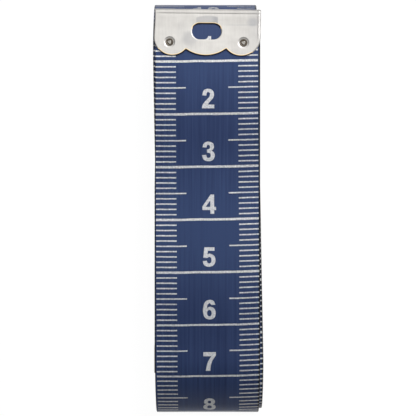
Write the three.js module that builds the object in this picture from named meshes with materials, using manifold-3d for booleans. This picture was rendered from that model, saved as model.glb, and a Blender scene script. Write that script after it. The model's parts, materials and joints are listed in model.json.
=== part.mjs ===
// Tailor's tape measure, wound into a flat oblong coil that lies on its back.
//
// Millimetres, +Z up. The coil's long side runs along Y, the strip's width along X.
// The origin is at the middle of the coil's underside. The zero end lies on top,
// with its metal tip towards +Y, and peels up off the coil in hinged sections.

import * as THREE from 'three';
import { mergeGeometries, mergeVertices } from 'three/addons/utils/BufferGeometryUtils.js';
import Module from 'manifold-3d';

const wasm = await Module();
wasm.setup();

// The strip
const stripLength = 1500;
const stripWidth = 19.8;
const stripThickness = 0.34;

// The winding: flat runs joined by bends, each bend drawn round the end of a narrow core
const fullTurns = 9;
const layerGap = 0.42;
const coreHalfHeight = 2;
const coreTaperLength = 4.5;
const innermostBendRadius = 0.5;
const sidewaysDrift = 0.65;
const leftDriftShare = 0.65;
const driftFadeShare = 0.3;

// Where the strip's two ends lie, measured from the tips of the core
const zeroEndPastCore = 4.22;
const innerEndShortOfCore = 0.4;
const zeroTipSeatGap = 0.37;
const innerTipGap = 2.1;
const innerEndSlopeLength = 25;
const innerEndShift = -0.55;

// The free end's hinged sections
const sectionCount = 5;
const sectionGap = 0.3;

// The metal tips
const tipSideOverhang = 0.1;
const tipLength = 8.9;
const tipMetal = 0.25;
const tipEndGap = 0.3;
const tipTurn = THREE.MathUtils.degToRad(-0.6);
const tipPatternShift = -0.25;
const sideLobeRadius = 3.4;
const cuspFromSideLobe = 2.8;
const middleLobeRise = 1.4;
const slotLength = 5.6;
const slotWidth = 3;
const slotFromEdge = 4.3;

// The rivets that hold the tips
const rivetFromSide = 3;
const rivetFromEdge = 6.35;
const rivetRadius = 0.4;
const rivetHeadRadius = 0.85;
const rivetHeadHeight = 0.18;
const rivetDomeShare = 0.6;
const rivetGap = 0.2;

// How finely the curves are cut into steps
const taperSteps = 3;
const hingeTaperStep = 2;
const arcSteps = 8;
const runSteps = 2;
const foldSteps = 6;
const holeSides = 14;
const cutOverrun = 1;
const mergeDistance = 1e-5;

const layerPitch = stripThickness + layerGap;
const bendCount = 2 * fullTurns;
const outerBendRadius = innermostBendRadius + (bendCount - 1) * layerPitch / 2;
const topLevel = coreHalfHeight + outerBendRadius;
const underside = topLevel + stripThickness / 2;

// The free end is lifted by its tip's back plate, and the inner end hangs clear of the turns
const zeroEndLift = tipMetal + zeroTipSeatGap - layerGap;
const innerEndDrop = tipMetal + rivetHeadHeight + innerTipGap - layerGap;

// The taper falls steadily steeper until the round part of the bend takes over
const taperEndAngle = Math.atan2(2 * coreHalfHeight, coreTaperLength);

// Length of the core's tapering side, a parabola that falls from its full height to its tip
const taperSlope = Math.tan(taperEndAngle);
const taperArcLength = coreTaperLength / 2
  * (Math.hypot(1, taperSlope) + Math.asinh(taperSlope) / taperSlope);

const hingeTaperShare = hingeTaperStep / taperSteps;
const bendRadius = (k) => outerBendRadius - k * layerPitch / 2;
const allBendRadii = bendCount * (outerBendRadius + innermostBendRadius) / 2;

// Half the length of a flat run, such that the whole strip is used up at the inner end
const slopeExtra = Math.hypot(innerEndSlopeLength, innerEndDrop) - innerEndSlopeLength;
const halfRun = (stripLength - 2 * bendCount * taperArcLength - Math.PI * allBendRadii
  - 2 * coreTaperLength - zeroEndPastCore + innerEndShortOfCore - slopeExtra)
  / (2 * bendCount + 2);
const coreTip = halfRun + coreTaperLength;
const zeroEdge = coreTip + zeroEndPastCore;
const innerEdge = -(coreTip - innerEndShortOfCore);

// The upper bends are one half pitch smaller than the lower ones, so the box's middle lies lower
const coreMiddle = (bendRadius(0) - bendRadius(1)) / 2;

// How far each bend lies to one side: the turns wander a little, less and less towards the core
function driftAt(k) {
  if (k < 1) return 0;
  const side = k % 2 ? -leftDriftShare : 1;
  const turnsIn = Math.max(k - 2, 0);
  return side * sidewaysDrift / (1 + driftFadeShare * turnsIn);
}

// A place on the strip's middle line: sideways x, lengthways y, height z above the core's middle,
// the outward normal (ny, nz)
const place = (x, y, z, ny, nz) => ({ x, y, z, ny, nz });

// A place on one end of the core, pushed out to a bend of the given radius. The place goes from
// the start of the taper (share 0) to the core's tip (share 1).
function taperPlace(share, radius) {
  const angle = Math.atan2(2 * coreHalfHeight * share, coreTaperLength);
  return {
    along: halfRun + share * coreTaperLength + radius * Math.sin(angle),
    up: coreHalfHeight * (1 - share * share) + radius * Math.cos(angle),
    angle,
  };
}

// The half section of bend k from its start to its middle, as distances along and up with the
// normal's angle from straight up
function halfBend(k) {
  const radius = bendRadius(k);
  const places = [];
  for (let i = 0; i <= taperSteps; i += 1) places.push(taperPlace(i / taperSteps, radius));
  const sweep = Math.PI / 2 - taperEndAngle;
  for (let i = 1; i <= arcSteps / 2; i += 1) {
    const angle = taperEndAngle + sweep * i / (arcSteps / 2);
    places.push({ along: coreTip + radius * Math.sin(angle), up: radius * Math.cos(angle), angle });
  }
  return places;
}

// Bend k in full. Even bends are at the lower end and go from the top to the underside, odd ones
// are at the upper end and come back up.
function wholeBend(k) {
  const lower = k % 2 === 0;
  const end = lower ? -1 : 1;
  const middleHeight = lower ? 0 : -layerPitch / 2;
  const half = halfBend(k);
  const x = driftAt(k);
  const top = half.map((p) => place(x, end * p.along, middleHeight + p.up,
    end * Math.sin(p.angle), Math.cos(p.angle)));
  const bottom = half.slice(0, -1).reverse().map((p) => place(x, end * p.along,
    middleHeight - p.up, end * Math.sin(p.angle), -Math.cos(p.angle)));
  const around = [...top, ...bottom];
  return lower ? around : around.reverse();
}

// Places on the straight way between two places, the first one left out
function straight(from, to, steps) {
  const places = [];
  for (let i = 1; i <= steps; i += 1) {
    const share = i / steps;
    places.push(place(THREE.MathUtils.lerp(from.x, to.x, share),
      THREE.MathUtils.lerp(from.y, to.y, share), THREE.MathUtils.lerp(from.z, to.z, share),
      to.ny, to.nz));
  }
  return places;
}

// A place moved along the strip, towards its inner end when the distance is positive
const moved = (p, distance) => place(p.x, p.y - distance * p.nz, p.z + distance * p.ny, p.ny, p.nz);

// The strip's flat ends under the tips
const tipFold = stripThickness / 2 + tipMetal;
const stripEndInset = tipFold + tipEndGap;
const sectionsLength = zeroEdge + halfRun + taperArcLength * hingeTaperShare;
const sectionLength = sectionsLength / sectionCount;

// The hinge lines, from the zero end inwards. The last one lies on the first bend's taper.
const hingeLine = taperPlace(hingeTaperShare, bendRadius(0));
const hinges = [];
for (let i = 1; i < sectionCount; i += 1) {
  const lift = i === 1 ? zeroEndLift : 0;
  hinges.push(place(0, zeroEdge - i * sectionLength, topLevel + lift, 0, 1));
}
hinges.push(place(0, -hingeLine.along, hingeLine.up,
  -Math.sin(hingeLine.angle), Math.cos(hingeLine.angle)));

// The free end's sections. Each one stops half a gap short of its hinge lines.
const zeroStripEnd = place(0, zeroEdge - stripEndInset, topLevel + zeroEndLift, 0, 1);
const firstBend = wholeBend(0);
const taperStart = firstBend[0];
const sections = hinges.map((hinge, i) => {
  const start = i === 0 ? zeroStripEnd : moved(hinges[i - 1], sectionGap / 2);
  const end = moved(hinge, -sectionGap / 2);
  if (i < sectionCount - 1) return [start, ...straight(start, end, 1)];
  return [start, ...straight(start, taperStart, 1), ...firstBend.slice(1, hingeTaperStep), end];
});

// The coiled turns, one unbroken strip from the last hinge line to the inner end
const lastHinge = hinges[sectionCount - 1];
const coiled = [moved(lastHinge, sectionGap / 2), ...firstBend.slice(hingeTaperStep + 1)];
for (let k = 1; k < bendCount; k += 1) {
  const bend = wholeBend(k);
  coiled.push(...straight(coiled[coiled.length - 1], bend[0], runSteps).slice(0, -1), ...bend);
}
const innerLevel = coiled[coiled.length - 1].z - innerEndDrop;
const innerFlatStart = place(innerEndShift, halfRun - innerEndSlopeLength, innerLevel, 0, 1);
const innerStripEnd = place(innerEndShift, innerEdge + stripEndInset, innerLevel, 0, 1);
coiled.push(...straight(coiled[coiled.length - 1], innerFlatStart, runSteps),
  ...straight(innerFlatStart, innerStripEnd, runSteps));

// A closed strip of the given width and thickness along a row of places
function stripGeometry(places) {
  const corners = [];
  for (const p of places) {
    for (const [across, out] of [[-1, 1], [1, 1], [1, -1], [-1, -1]]) {
      corners.push(p.x + across * stripWidth / 2,
        p.y + out * p.ny * stripThickness / 2, p.z + out * p.nz * stripThickness / 2);
    }
  }
  const faces = [0, 1, 2, 0, 2, 3];
  const sides = 4;
  for (let i = 0; i + 1 < places.length; i += 1) {
    for (let j = 0; j < sides; j += 1) {
      const a = sides * i + j;
      const b = sides * i + (j + 1) % sides;
      faces.push(a, a + sides, b, b, a + sides, b + sides);
    }
  }
  const last = sides * (places.length - 1);
  faces.push(last, last + 2, last + 1, last, last + 3, last + 2);
  const geometry = new THREE.BufferGeometry();
  geometry.setAttribute('position', new THREE.Float32BufferAttribute(corners, 3));
  geometry.setIndex(faces);
  return geometry;
}

// A three.js geometry as a solid that can be cut, and back
function toSolid(geometry) {
  const bare = geometry.clone();
  bare.deleteAttribute('normal');
  bare.deleteAttribute('uv');
  const merged = mergeVertices(bare, mergeDistance);
  return new wasm.Manifold(new wasm.Mesh({
    numProp: 3,
    vertProperties: new Float32Array(merged.attributes.position.array),
    triVerts: new Uint32Array(merged.index.array),
  }));
}

function toGeometry(solid) {
  const mesh = solid.getMesh();
  const geometry = new THREE.BufferGeometry();
  geometry.setAttribute('position', new THREE.BufferAttribute(mesh.vertProperties, 3));
  geometry.setIndex(new THREE.BufferAttribute(mesh.triVerts, 1));
  return geometry;
}

// Tip shapes are drawn with their folded edge on y = 0 and the plate towards -Y, centred on the
// strip's middle plane.
const tipWidth = stripWidth + 2 * tipSideOverhang;
const sideLobeX = tipWidth / 2 - sideLobeRadius;
const middleLobeHalfWidth = sideLobeX - cuspFromSideLobe;
const sideLobeY = sideLobeRadius - tipLength;
const cuspDrop = Math.sqrt(sideLobeRadius ** 2 - cuspFromSideLobe ** 2);
const middleLobeRadius = (middleLobeHalfWidth ** 2 + middleLobeRise ** 2) / (2 * middleLobeRise);
const middleLobeAngle = Math.asin(middleLobeHalfWidth / middleLobeRadius);

// The plate seen from above, with its three scallops
function tipOutline() {
  const cuspY = sideLobeY - cuspDrop;
  const cuspAngle = Math.atan2(-cuspDrop, cuspFromSideLobe);
  const middleY = cuspY - middleLobeRise + middleLobeRadius;
  const outline = new THREE.Shape();
  outline.moveTo(-tipWidth / 2, cutOverrun);
  outline.lineTo(-tipWidth / 2, sideLobeY);
  outline.absarc(-sideLobeX, sideLobeY, sideLobeRadius, Math.PI, 2 * Math.PI + cuspAngle, false);
  outline.absarc(tipPatternShift, middleY, middleLobeRadius,
    -Math.PI / 2 - middleLobeAngle, -Math.PI / 2 + middleLobeAngle, false);
  outline.absarc(sideLobeX, sideLobeY, sideLobeRadius, -Math.PI - cuspAngle, 0, false);
  outline.lineTo(tipWidth / 2, cutOverrun);
  outline.closePath();

  const slot = new THREE.Path();
  const slotEnd = (slotLength - slotWidth) / 2;
  slot.absarc(tipPatternShift + slotEnd, -slotFromEdge, slotWidth / 2, -Math.PI / 2, Math.PI / 2);
  slot.absarc(tipPatternShift - slotEnd, -slotFromEdge, slotWidth / 2, Math.PI / 2,
    3 * Math.PI / 2);
  slot.closePath();
  outline.holes.push(slot);
  return outline;
}

// The plate seen from the side: folded round the strip's end
function tipSection() {
  const section = new THREE.Shape();
  section.moveTo(-tipLength - cutOverrun, -tipFold);
  section.absarc(-tipFold, 0, tipFold, -Math.PI / 2, Math.PI / 2, false);
  section.lineTo(-tipLength - cutOverrun, tipFold);
  section.lineTo(-tipLength - cutOverrun, stripThickness / 2);
  section.absarc(-tipFold, 0, stripThickness / 2, Math.PI / 2, -Math.PI / 2, true);
  section.lineTo(-tipLength - cutOverrun, -stripThickness / 2);
  section.closePath();
  return section;
}

// Where the rivets stand on a tip
const rivetPlaces = [-1, 1].map((side) => new THREE.Vector2(
  tipPatternShift + side * (tipWidth / 2 - rivetFromSide), -rivetFromEdge));

// Round holes for the rivets, through the tip and the strip between its plates
function rivetHoles() {
  const depth = 2 * (tipFold + cutOverrun);
  const radius = rivetRadius + rivetGap;
  const holes = rivetPlaces.map(({ x, y }) => new THREE.CylinderGeometry(
    radius, radius, depth, holeSides).rotateX(Math.PI / 2).translate(x, y, 0));
  return toSolid(mergeGeometries(holes));
}

function tipGeometry() {
  const fold = new THREE.ExtrudeGeometry(tipSection(),
    { depth: tipWidth + 2 * cutOverrun, bevelEnabled: false, curveSegments: foldSteps });
  // The section is drawn lengthways and upwards, and is pushed out across the strip
  fold.applyMatrix4(new THREE.Matrix4().makeBasis(new THREE.Vector3(0, 1, 0),
    new THREE.Vector3(0, 0, 1), new THREE.Vector3(1, 0, 0)));
  fold.translate(-tipWidth / 2 - cutOverrun, 0, 0);
  const plate = new THREE.ExtrudeGeometry(tipOutline(),
    { depth: 2 * (tipFold + cutOverrun), bevelEnabled: false, curveSegments: holeSides });
  plate.translate(0, 0, -tipFold - cutOverrun);
  return toGeometry(toSolid(fold).intersect(toSolid(plate)).subtract(rivetHoles()));
}

// One rivet, its shank through the strip and a low domed head on each plate
function rivetGeometry() {
  const half = [
    [rivetRadius, tipFold],
    [rivetHeadRadius, tipFold],
    [rivetHeadRadius * rivetDomeShare, tipFold + rivetHeadHeight],
    [0, tipFold + rivetHeadHeight],
  ];
  const lower = half.map(([r, z]) => new THREE.Vector2(r, -z)).reverse();
  const upper = half.map(([r, z]) => new THREE.Vector2(r, z));
  return new THREE.LatheGeometry([...lower, ...upper], holeSides).rotateX(Math.PI / 2);
}

const coating = new THREE.MeshStandardMaterial({ color: 0x2d3c62, roughness: 0.5 });
const nickel = new THREE.MeshStandardMaterial({ color: 0xdedad4, roughness: 0.3, metalness: 1 });
const brass = new THREE.MeshStandardMaterial({ color: 0xb09468, roughness: 0.4, metalness: 1 });

function named(name, geometry, material) {
  const mesh = new THREE.Mesh(geometry, material);
  mesh.name = name;
  return mesh;
}

// A tip with its two rivets. Its matrix puts it on the strip, and the strip's holes follow it.
function tipGroup(prefix, position, turn) {
  const group = new THREE.Group();
  group.position.copy(position);
  group.rotation.z = turn;
  group.add(named(`${prefix}_tip`, tipGeometry(), nickel));
  ['left', 'right'].forEach((side, i) => {
    const rivet = named(`${prefix}_rivet_${side}`, rivetGeometry(), brass);
    rivet.position.set(rivetPlaces[i].x, rivetPlaces[i].y, 0);
    group.add(rivet);
  });
  group.updateMatrix();
  return group;
}

const zeroTip = tipGroup('zero_end',
  new THREE.Vector3(0, zeroEdge, zeroStripEnd.z), tipTurn);
const innerTip = tipGroup('inner_end',
  new THREE.Vector3(innerEndShift, innerEdge, innerLevel), Math.PI);

// A piece of the strip with the rivet holes of the tip on its end
function punched(places, tip) {
  const holes = mergeVertices(toGeometry(rivetHoles()));
  return toGeometry(toSolid(stripGeometry(places)).subtract(
    toSolid(holes.applyMatrix4(tip.matrix))));
}

// The least distance between two stretches of the strip's middle line that lie over each other,
// from each place to the straight steps at least a bend further on
function leastGap(places) {
  const points = places.map((p) => new THREE.Vector3(0, p.y, p.z));
  const nearest = new THREE.Vector3();
  const apart = 2 * taperSteps + arcSteps;
  let least = Infinity;
  for (let i = 0; i < points.length; i += 1) {
    for (let j = i + apart; j + 1 < points.length; j += 1) {
      new THREE.Line3(points[j], points[j + 1]).closestPointToPoint(points[i], true, nearest);
      least = Math.min(least, nearest.distanceTo(points[i]));
    }
  }
  return least - stripThickness;
}

const wholeStrip = [...sections.flat(), ...coiled];
console.log(`least gap of the strip to itself: ${leastGap(wholeStrip).toFixed(3)} mm`);

const tape = new THREE.Group();
tape.position.set(0, coreMiddle, underside);
sections.forEach((places, i) => {
  const geometry = i === 0 ? punched(places, zeroTip) : stripGeometry(places);
  tape.add(named(`tape_free_section_${i + 1}`, geometry, coating));
});
tape.add(named('tape_coiled_turns', punched(coiled, innerTip), coating), zeroTip, innerTip);

export default tape;
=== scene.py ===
# Looks of a tailor's tape measure that is wound into a flat oblong coil and lies on its back.
#
# Metres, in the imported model's frame: the coil's long side along Y, the strip's width along X, and
# the zero end on top with its metal tip towards +Y. Sizes are written in millimetres.

import json
import math

import bmesh
import bpy
from mathutils import Matrix, Vector
from mathutils.geometry import delaunay_2d_cdt, interpolate_bezier

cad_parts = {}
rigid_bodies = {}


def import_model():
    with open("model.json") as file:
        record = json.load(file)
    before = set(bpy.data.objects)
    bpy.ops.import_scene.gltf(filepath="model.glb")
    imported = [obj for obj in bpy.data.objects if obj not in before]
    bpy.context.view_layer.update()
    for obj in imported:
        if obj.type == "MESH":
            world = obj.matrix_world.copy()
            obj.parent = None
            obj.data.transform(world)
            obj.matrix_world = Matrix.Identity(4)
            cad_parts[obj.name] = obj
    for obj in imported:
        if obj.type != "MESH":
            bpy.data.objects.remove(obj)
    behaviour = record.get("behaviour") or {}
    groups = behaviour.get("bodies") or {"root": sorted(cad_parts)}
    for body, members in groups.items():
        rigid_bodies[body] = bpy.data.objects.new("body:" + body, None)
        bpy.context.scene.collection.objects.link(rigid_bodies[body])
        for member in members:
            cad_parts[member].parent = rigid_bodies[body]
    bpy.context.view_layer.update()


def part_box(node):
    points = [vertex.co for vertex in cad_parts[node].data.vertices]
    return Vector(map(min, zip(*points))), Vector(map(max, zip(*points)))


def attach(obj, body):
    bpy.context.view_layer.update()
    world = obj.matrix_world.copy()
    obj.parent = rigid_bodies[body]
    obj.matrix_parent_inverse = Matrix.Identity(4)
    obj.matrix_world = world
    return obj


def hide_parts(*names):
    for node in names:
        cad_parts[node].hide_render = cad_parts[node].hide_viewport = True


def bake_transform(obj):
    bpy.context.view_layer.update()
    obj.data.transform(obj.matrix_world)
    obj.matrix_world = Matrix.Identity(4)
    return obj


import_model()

MM = 0.001
MM_PER_METRE = 1000

# The strip and its winding, as in the part's source
STRIP_LENGTH = 1500
STRIP_WIDTH = 19.8
STRIP_THICKNESS = 0.34
FULL_TURNS = 9
LAYER_GAP = 0.42
CORE_HALF_HEIGHT = 2
CORE_TAPER = 4.5
INNERMOST_RADIUS = 0.5
SIDEWAYS_DRIFT = 0.65
LEFT_DRIFT_SHARE = 0.65
DRIFT_FADE = 0.3
ZERO_PAST_CORE = 4.22
INNER_SHORT_OF_CORE = 0.4
ZERO_TIP_SEAT_GAP = 0.37
INNER_TIP_GAP = 2.1
INNER_SLOPE = 25
INNER_SHIFT = -0.55

# The tips and rivets, as in the part's source
TIP_SIDE_OVERHANG = 0.1
TIP_LENGTH = 8.9
TIP_METAL = 0.25
TIP_END_GAP = 0.3
TIP_TURN = math.radians(-0.6)
TIP_SHIFT = -0.25
TIP_SEAT_SHIFT = 0.12
SLOT_LENGTH = 5.6
SLOT_WIDTH = 3
SLOT_FROM_EDGE = 4.3
RIVET_FROM_SIDE = 3
RIVET_FROM_EDGE = 6.35
RIVET_HOLE = 0.6
RIVET_HEAD_HEIGHT = 0.18

# The scallops as they show: the side lobes' radii, the flare of the left side, where the side lobes
# meet the middle lobe, and its depth
LEFT_LOBE = 3.45
RIGHT_LOBE = 3.7
LEFT_FLARE = 0.2
LEAST_FLARE_SHARE = 0.25
FLARE_LENGTH = 5.2
LEFT_CUSP_X = -4.15
RIGHT_CUSP_X = 3.47
MIDDLE_LOBE_RISE = 1.21

# The cloth as it shows, a little wider than the solid strip, and its printed scale
CLOTH_WIDTH = 19.94
EDGE_BEVEL = 0.07
PRINT_SHIFT = 0.06
TICK_WIDTH = 0.25
BOLD_WIDTH = 0.43
SHORT_TICK = 3.86
MIDDLE_TICK = 5.76
RIGHT_TICK_LOSS = 0.13
LEFT_EDGE_GAP = 0.05
RIGHT_EDGE_GAP = 0.48
INK_HEIGHT = 0.02
INK_SINK = 0.01
NUMBER_HEIGHT = 3.66
NUMBER_RISE = 1.16
NUMBER_PITCH = 3.0
NUMBER_SHIFT = 0.04

# How the print is off true. A stretch is where an effect grows from nothing to full. A band has
# four places: where the effect starts, is full, starts to fade and is gone. Both are millimetres
# along the strip from its zero edge, or across it from its middle. A grain is how fine a noise is.
PRINT_CREEP = 0.3
CREEP_STRETCH = (58, 74)
PRINT_DRIFT = 0.33
DRIFT_BAND = (0, 70, 90, 150)
EDGE_GAP_LOSS = 0.8
EDGE_GAP_STRETCH = (70, 150)
LINE_THINNING = 0.2
THINNING_BAND = (48, 62, 80, 120)
RIGHT_HALF_LEAD = 0.1
LEAD_STRETCH = (-6, -1.5)
LINE_SLOPE = 0.019
LINE_SLOPE_FROM = 1
END_SLOPE = 0.04
END_SLOPE_FROM = 6
END_SLOPE_STRETCH = (0, 90)
RAGGEDNESS = 0.11
RAG_GRAIN = 1400
WANDER = 0.25
WANDER_GRAIN = 45

# The cloth's looks: its weave, a painted sheen that swells from light to dark along it, painted
# shade where it bends over the top, painted shade along its edges, painted light on its part under
# the tip, and painted shade on its ink along part of the second layer's bend
WARP_PITCH = 0.26
WEFT_PITCH = 0.34
PAINTED_SHEEN_CREST = 6.5
PAINTED_SHEEN_LENGTH = 35.5
PAINTED_SHEEN_DEPTH = 0.36
FOLD_SHADE = 0.45
FOLD_SHADE_BAND = (64, 72, 76, 80)
LEFT_EDGE_SHADE = (9.75, 9.9)
RIGHT_EDGE_SHADE = (9.55, 9.75)
PAINTED_LIGHT_UNDER_TIP_SHARE = 0.8
PAINTED_LIGHT_UNDER_TIP_STRETCH = (6.6, 7.4)
INK_SHADE_SHARE = 0.62
INK_SHADE_BAND = (162, 168, 181, 187)

# The zero-end plate's looks, at places in the part's frame: it has painted shade towards its fold
# and its right side, a painted grey reflection arched over the slot, a painted shaded corner, and
# soft oval stains. Each stain has its middle, its reach and its strength.
DIMMING_AND_PAINTED_SHADE = 0.2
PAINTED_SHADE_TOP_STRETCH = (33.5, 35.2)
PAINTED_SHADE_RIGHT_STRETCH = (3, 6)
REFLECTION_ARCH_SIDES = (-2.3, -2.0, 1.8, 2.1)
REFLECTION_ARCH_FOOT = (34.7, 35.0)
REFLECTION_ARCH_TOP = (36.3, 36.55)
REFLECTION_ARCH_BOW = 0.08
REFLECTION_ARCH_LEFT_SHARE = 0.6
REFLECTION_ARCH_FULL_STRETCH = (0.5, 1.6)
CORNER_SHADE = 0.26
CORNER_SHADE_X = (7.2, 8.9)
CORNER_SHADE_Y = (30, 33)
STAINS = [
    ((-3.4, 32.1), (1.8, 1.8), 0.5),
    ((-4.7, 33.3), (1.7, 3.2), 0.12),
    ((8.5, 35.2), (1.4, 1.0), 0.55),
    ((6.5, 34.65), (4.2, 0.2), 0.3),
]

# The plates' relief: each roll or ridge has its height and its reach from where it starts, and the
# cut scallops turn into the plain sides over a stretch across
LEFT_SIDE_STRETCH = (9.1, 9.7)
RIGHT_SIDE_STRETCH = (8.2, 8.8)
LEFT_SIDE_ROLL = 0.05
RIGHT_SIDE_ROLL = 0.12
SIDE_ROLL_REACH = 0.17
RIDGE_RISE = 0.042
RIDGE_FROM_SIDE = 0.45
RIDGE_REACH = 0.25
RIDGE_END_STRETCH = (4.4, 6)
CREASE_DEPTH = 0.04
CREASE_FROM_FOLD = 0.52
CREASE_REACH = 0.15
CUT_ROLL = 0.03
CUT_ROLL_REACH = 0.1
SLOT_ROLL = 0.05
SLOT_ROLL_REACH = 0.24
DIMPLE_DEPTH = 0.08
DIMPLE_STRETCH = (0.78, 1.14)
# Reaches of the brass from the scallops and the slot, which also set the painted black shadow at the
# very edge.
CUT_BRASS_AND_SHADOW_REACH = 0.36
SLOT_BRASS_AND_SHADOW_REACH = 0.34
SLOT_BRASS_AND_SHADOW_STRETCH = (0.18, 1.08)

# How finely a plate is cut up before it is folded: insets from its edges, rings round its rivets,
# and rows past its fold
SIDE_LOBE_STEPS = 40
MIDDLE_LOBE_STEPS = 36
SLOT_END_STEPS = 18
OUTLINE_STEP = 0.3
SLOT_STEP = 0.2
EDGE_INSETS = (0.05, 0.11, 0.17, 0.24, 0.32, 0.39, 0.45, 0.51, 0.58, 0.66, 0.74)
INSET_SHARE = 0.93
RING_SIDES = 28
RIVET_RINGS = (0.7, 0.8, 0.86, 0.92, 0.98, 1.04, 1.1, 1.16, 1.24, 1.4)
FOLD_ROWS = 8
ROWS_PAST_FOLD = (0.12, 0.25, 0.37, 0.445, 0.52, 0.595, 0.67)
GRID_STEP = 0.42
GRID_ROWS = 20
CLEAR_OF_RIVET = 1.55
CLEAR_OF_EDGE = 0.8
FINE_PAST_FOLD = 0.7
CLEAR_OF_EDGE_AT_FOLD = 0.2

# A clinched rivet from its middle outwards and under: the distance from its axis, the height over
# the cloth's face, and how rubbed it is. Its centre is pinched to a star with three points.
CLINCH_PROFILE = [
    (0.0, 0.24, 1), (0.12, 0.22, 0.6), (0.22, 0.25, 1), (0.32, 0.24, 1), (0.38, 0.17, 0),
    (0.44, 0.12, 0), (0.5, 0.15, 0), (0.58, 0.22, 0.3), (0.68, 0.23, 0), (0.76, 0.18, 0),
    (0.78, 0.12, 0), (0.7, 0.06, 0), (0.55, 0.04, 0.3),
]
CLINCH_SIDES = 30
STAR_POINTS = 3
STAR_DEPTH = 0.22
STAR_TURN = 0.6
STAR_FROM, STAR_TO = 0.1, 0.4

# The floor lies just clear of the coil's underside, and the camera looks straight down on the
# front face. The studio's own sizes are in metres.
FLOOR_LEVEL = -0.03
FACE_LEVEL = 18.46
CAMERA_OVER_FACE = 195.99
CAMERA_X = 0.08
CAMERA_Y = 0.047
CAMERA_LENS = 89.56
STUDIO_RADIUS = 3.0
STUDIO_HEIGHT = 0.75
STUDIO_SIDES = 32
STUDIO_GLOW = 1.03
STUDIO_GLOW_SHARE = 0.94
CEILING_LIGHT = 0.3

LAYER_PITCH = STRIP_THICKNESS + LAYER_GAP
BENDS = 2 * FULL_TURNS
OUTER_RADIUS = INNERMOST_RADIUS + (BENDS - 1) * LAYER_PITCH / 2
TOP_LEVEL = CORE_HALF_HEIGHT + OUTER_RADIUS
UNDERSIDE = TOP_LEVEL + STRIP_THICKNESS / 2
CORE_MIDDLE = LAYER_PITCH / 4
ZERO_LIFT = TIP_METAL + ZERO_TIP_SEAT_GAP - LAYER_GAP
INNER_DROP = TIP_METAL + RIVET_HEAD_HEIGHT + INNER_TIP_GAP - LAYER_GAP
TAPER_ANGLE = math.atan2(2 * CORE_HALF_HEIGHT, CORE_TAPER)
TAPER_SLOPE = math.tan(TAPER_ANGLE)
TAPER_ARC = CORE_TAPER / 2 * (math.hypot(1, TAPER_SLOPE) + math.asinh(TAPER_SLOPE) / TAPER_SLOPE)
HALF_RUN = (STRIP_LENGTH - 2 * BENDS * TAPER_ARC
            - math.pi * BENDS * (OUTER_RADIUS + INNERMOST_RADIUS) / 2 - 2 * CORE_TAPER
            - ZERO_PAST_CORE + INNER_SHORT_OF_CORE
            - math.hypot(INNER_SLOPE, INNER_DROP) + INNER_SLOPE) / (2 * BENDS + 2)
CORE_TIP = HALF_RUN + CORE_TAPER
ZERO_EDGE = CORE_TIP + ZERO_PAST_CORE
INNER_EDGE = INNER_SHORT_OF_CORE - CORE_TIP
TIP_FOLD = STRIP_THICKNESS / 2 + TIP_METAL
STRIP_END_INSET = TIP_FOLD + TIP_END_GAP
TIP_WIDTH = STRIP_WIDTH + 2 * TIP_SIDE_OVERHANG

# Hinge k is SECTION times k from the zero edge, and the cloth is cut halfway between hinges.
SECTION = (ZERO_EDGE + HALF_RUN + TAPER_ARC * 2 / 3) / 5
FREE_END_LENGTH = 74.7
CUTS = [STRIP_END_INSET, *((k + 0.5) * SECTION for k in range(1, 5)), FREE_END_LENGTH]


# Socket arithmetic

class Value:
    """A node socket that stands in a sum: each operator adds one Math node."""

    def __init__(self, nodes, socket):
        self.nodes = nodes
        self.socket = socket

    def other(self, name):
        return Value(self.nodes, self.socket.node.outputs[name])

    def math(self, operation, *others, first=None):
        sockets = [self, *others] if first is None else [first, self]
        return self.nodes.add("ShaderNodeMath", {"operation": operation}, dict(enumerate(sockets)))

    def __add__(self, other):
        return self.math("ADD", other)

    __radd__ = __add__

    def __sub__(self, other):
        return self.math("SUBTRACT", other)

    def __rsub__(self, other):
        return self.math("SUBTRACT", first=other)

    def __mul__(self, other):
        return self.math("MULTIPLY", other)

    __rmul__ = __mul__

    def __truediv__(self, other):
        return self.math("DIVIDE", other)

    def __rtruediv__(self, other):
        return self.math("DIVIDE", first=other)

    def __mod__(self, other):
        return self.math("FLOORED_MODULO", other)

    def __lt__(self, other):
        return self.math("LESS_THAN", other)

    def __gt__(self, other):
        return self.math("GREATER_THAN", other)

    def floor(self):
        return self.math("FLOOR")

    def ramp(self, start, end, unit=1):
        """0 before start, 1 after end, and a soft step between them."""
        return self.nodes.add("ShaderNodeMapRange", {"interpolation_type": "SMOOTHSTEP"},
                              {"Value": self, "From Min": start * unit, "From Max": end * unit})

    def band(self, places, unit=1):
        """0 outside the outer two of four places, 1 between the inner two."""
        start, full, last, end = places
        return self.ramp(start, full, unit) * (1 - self.ramp(last, end, unit))


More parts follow.
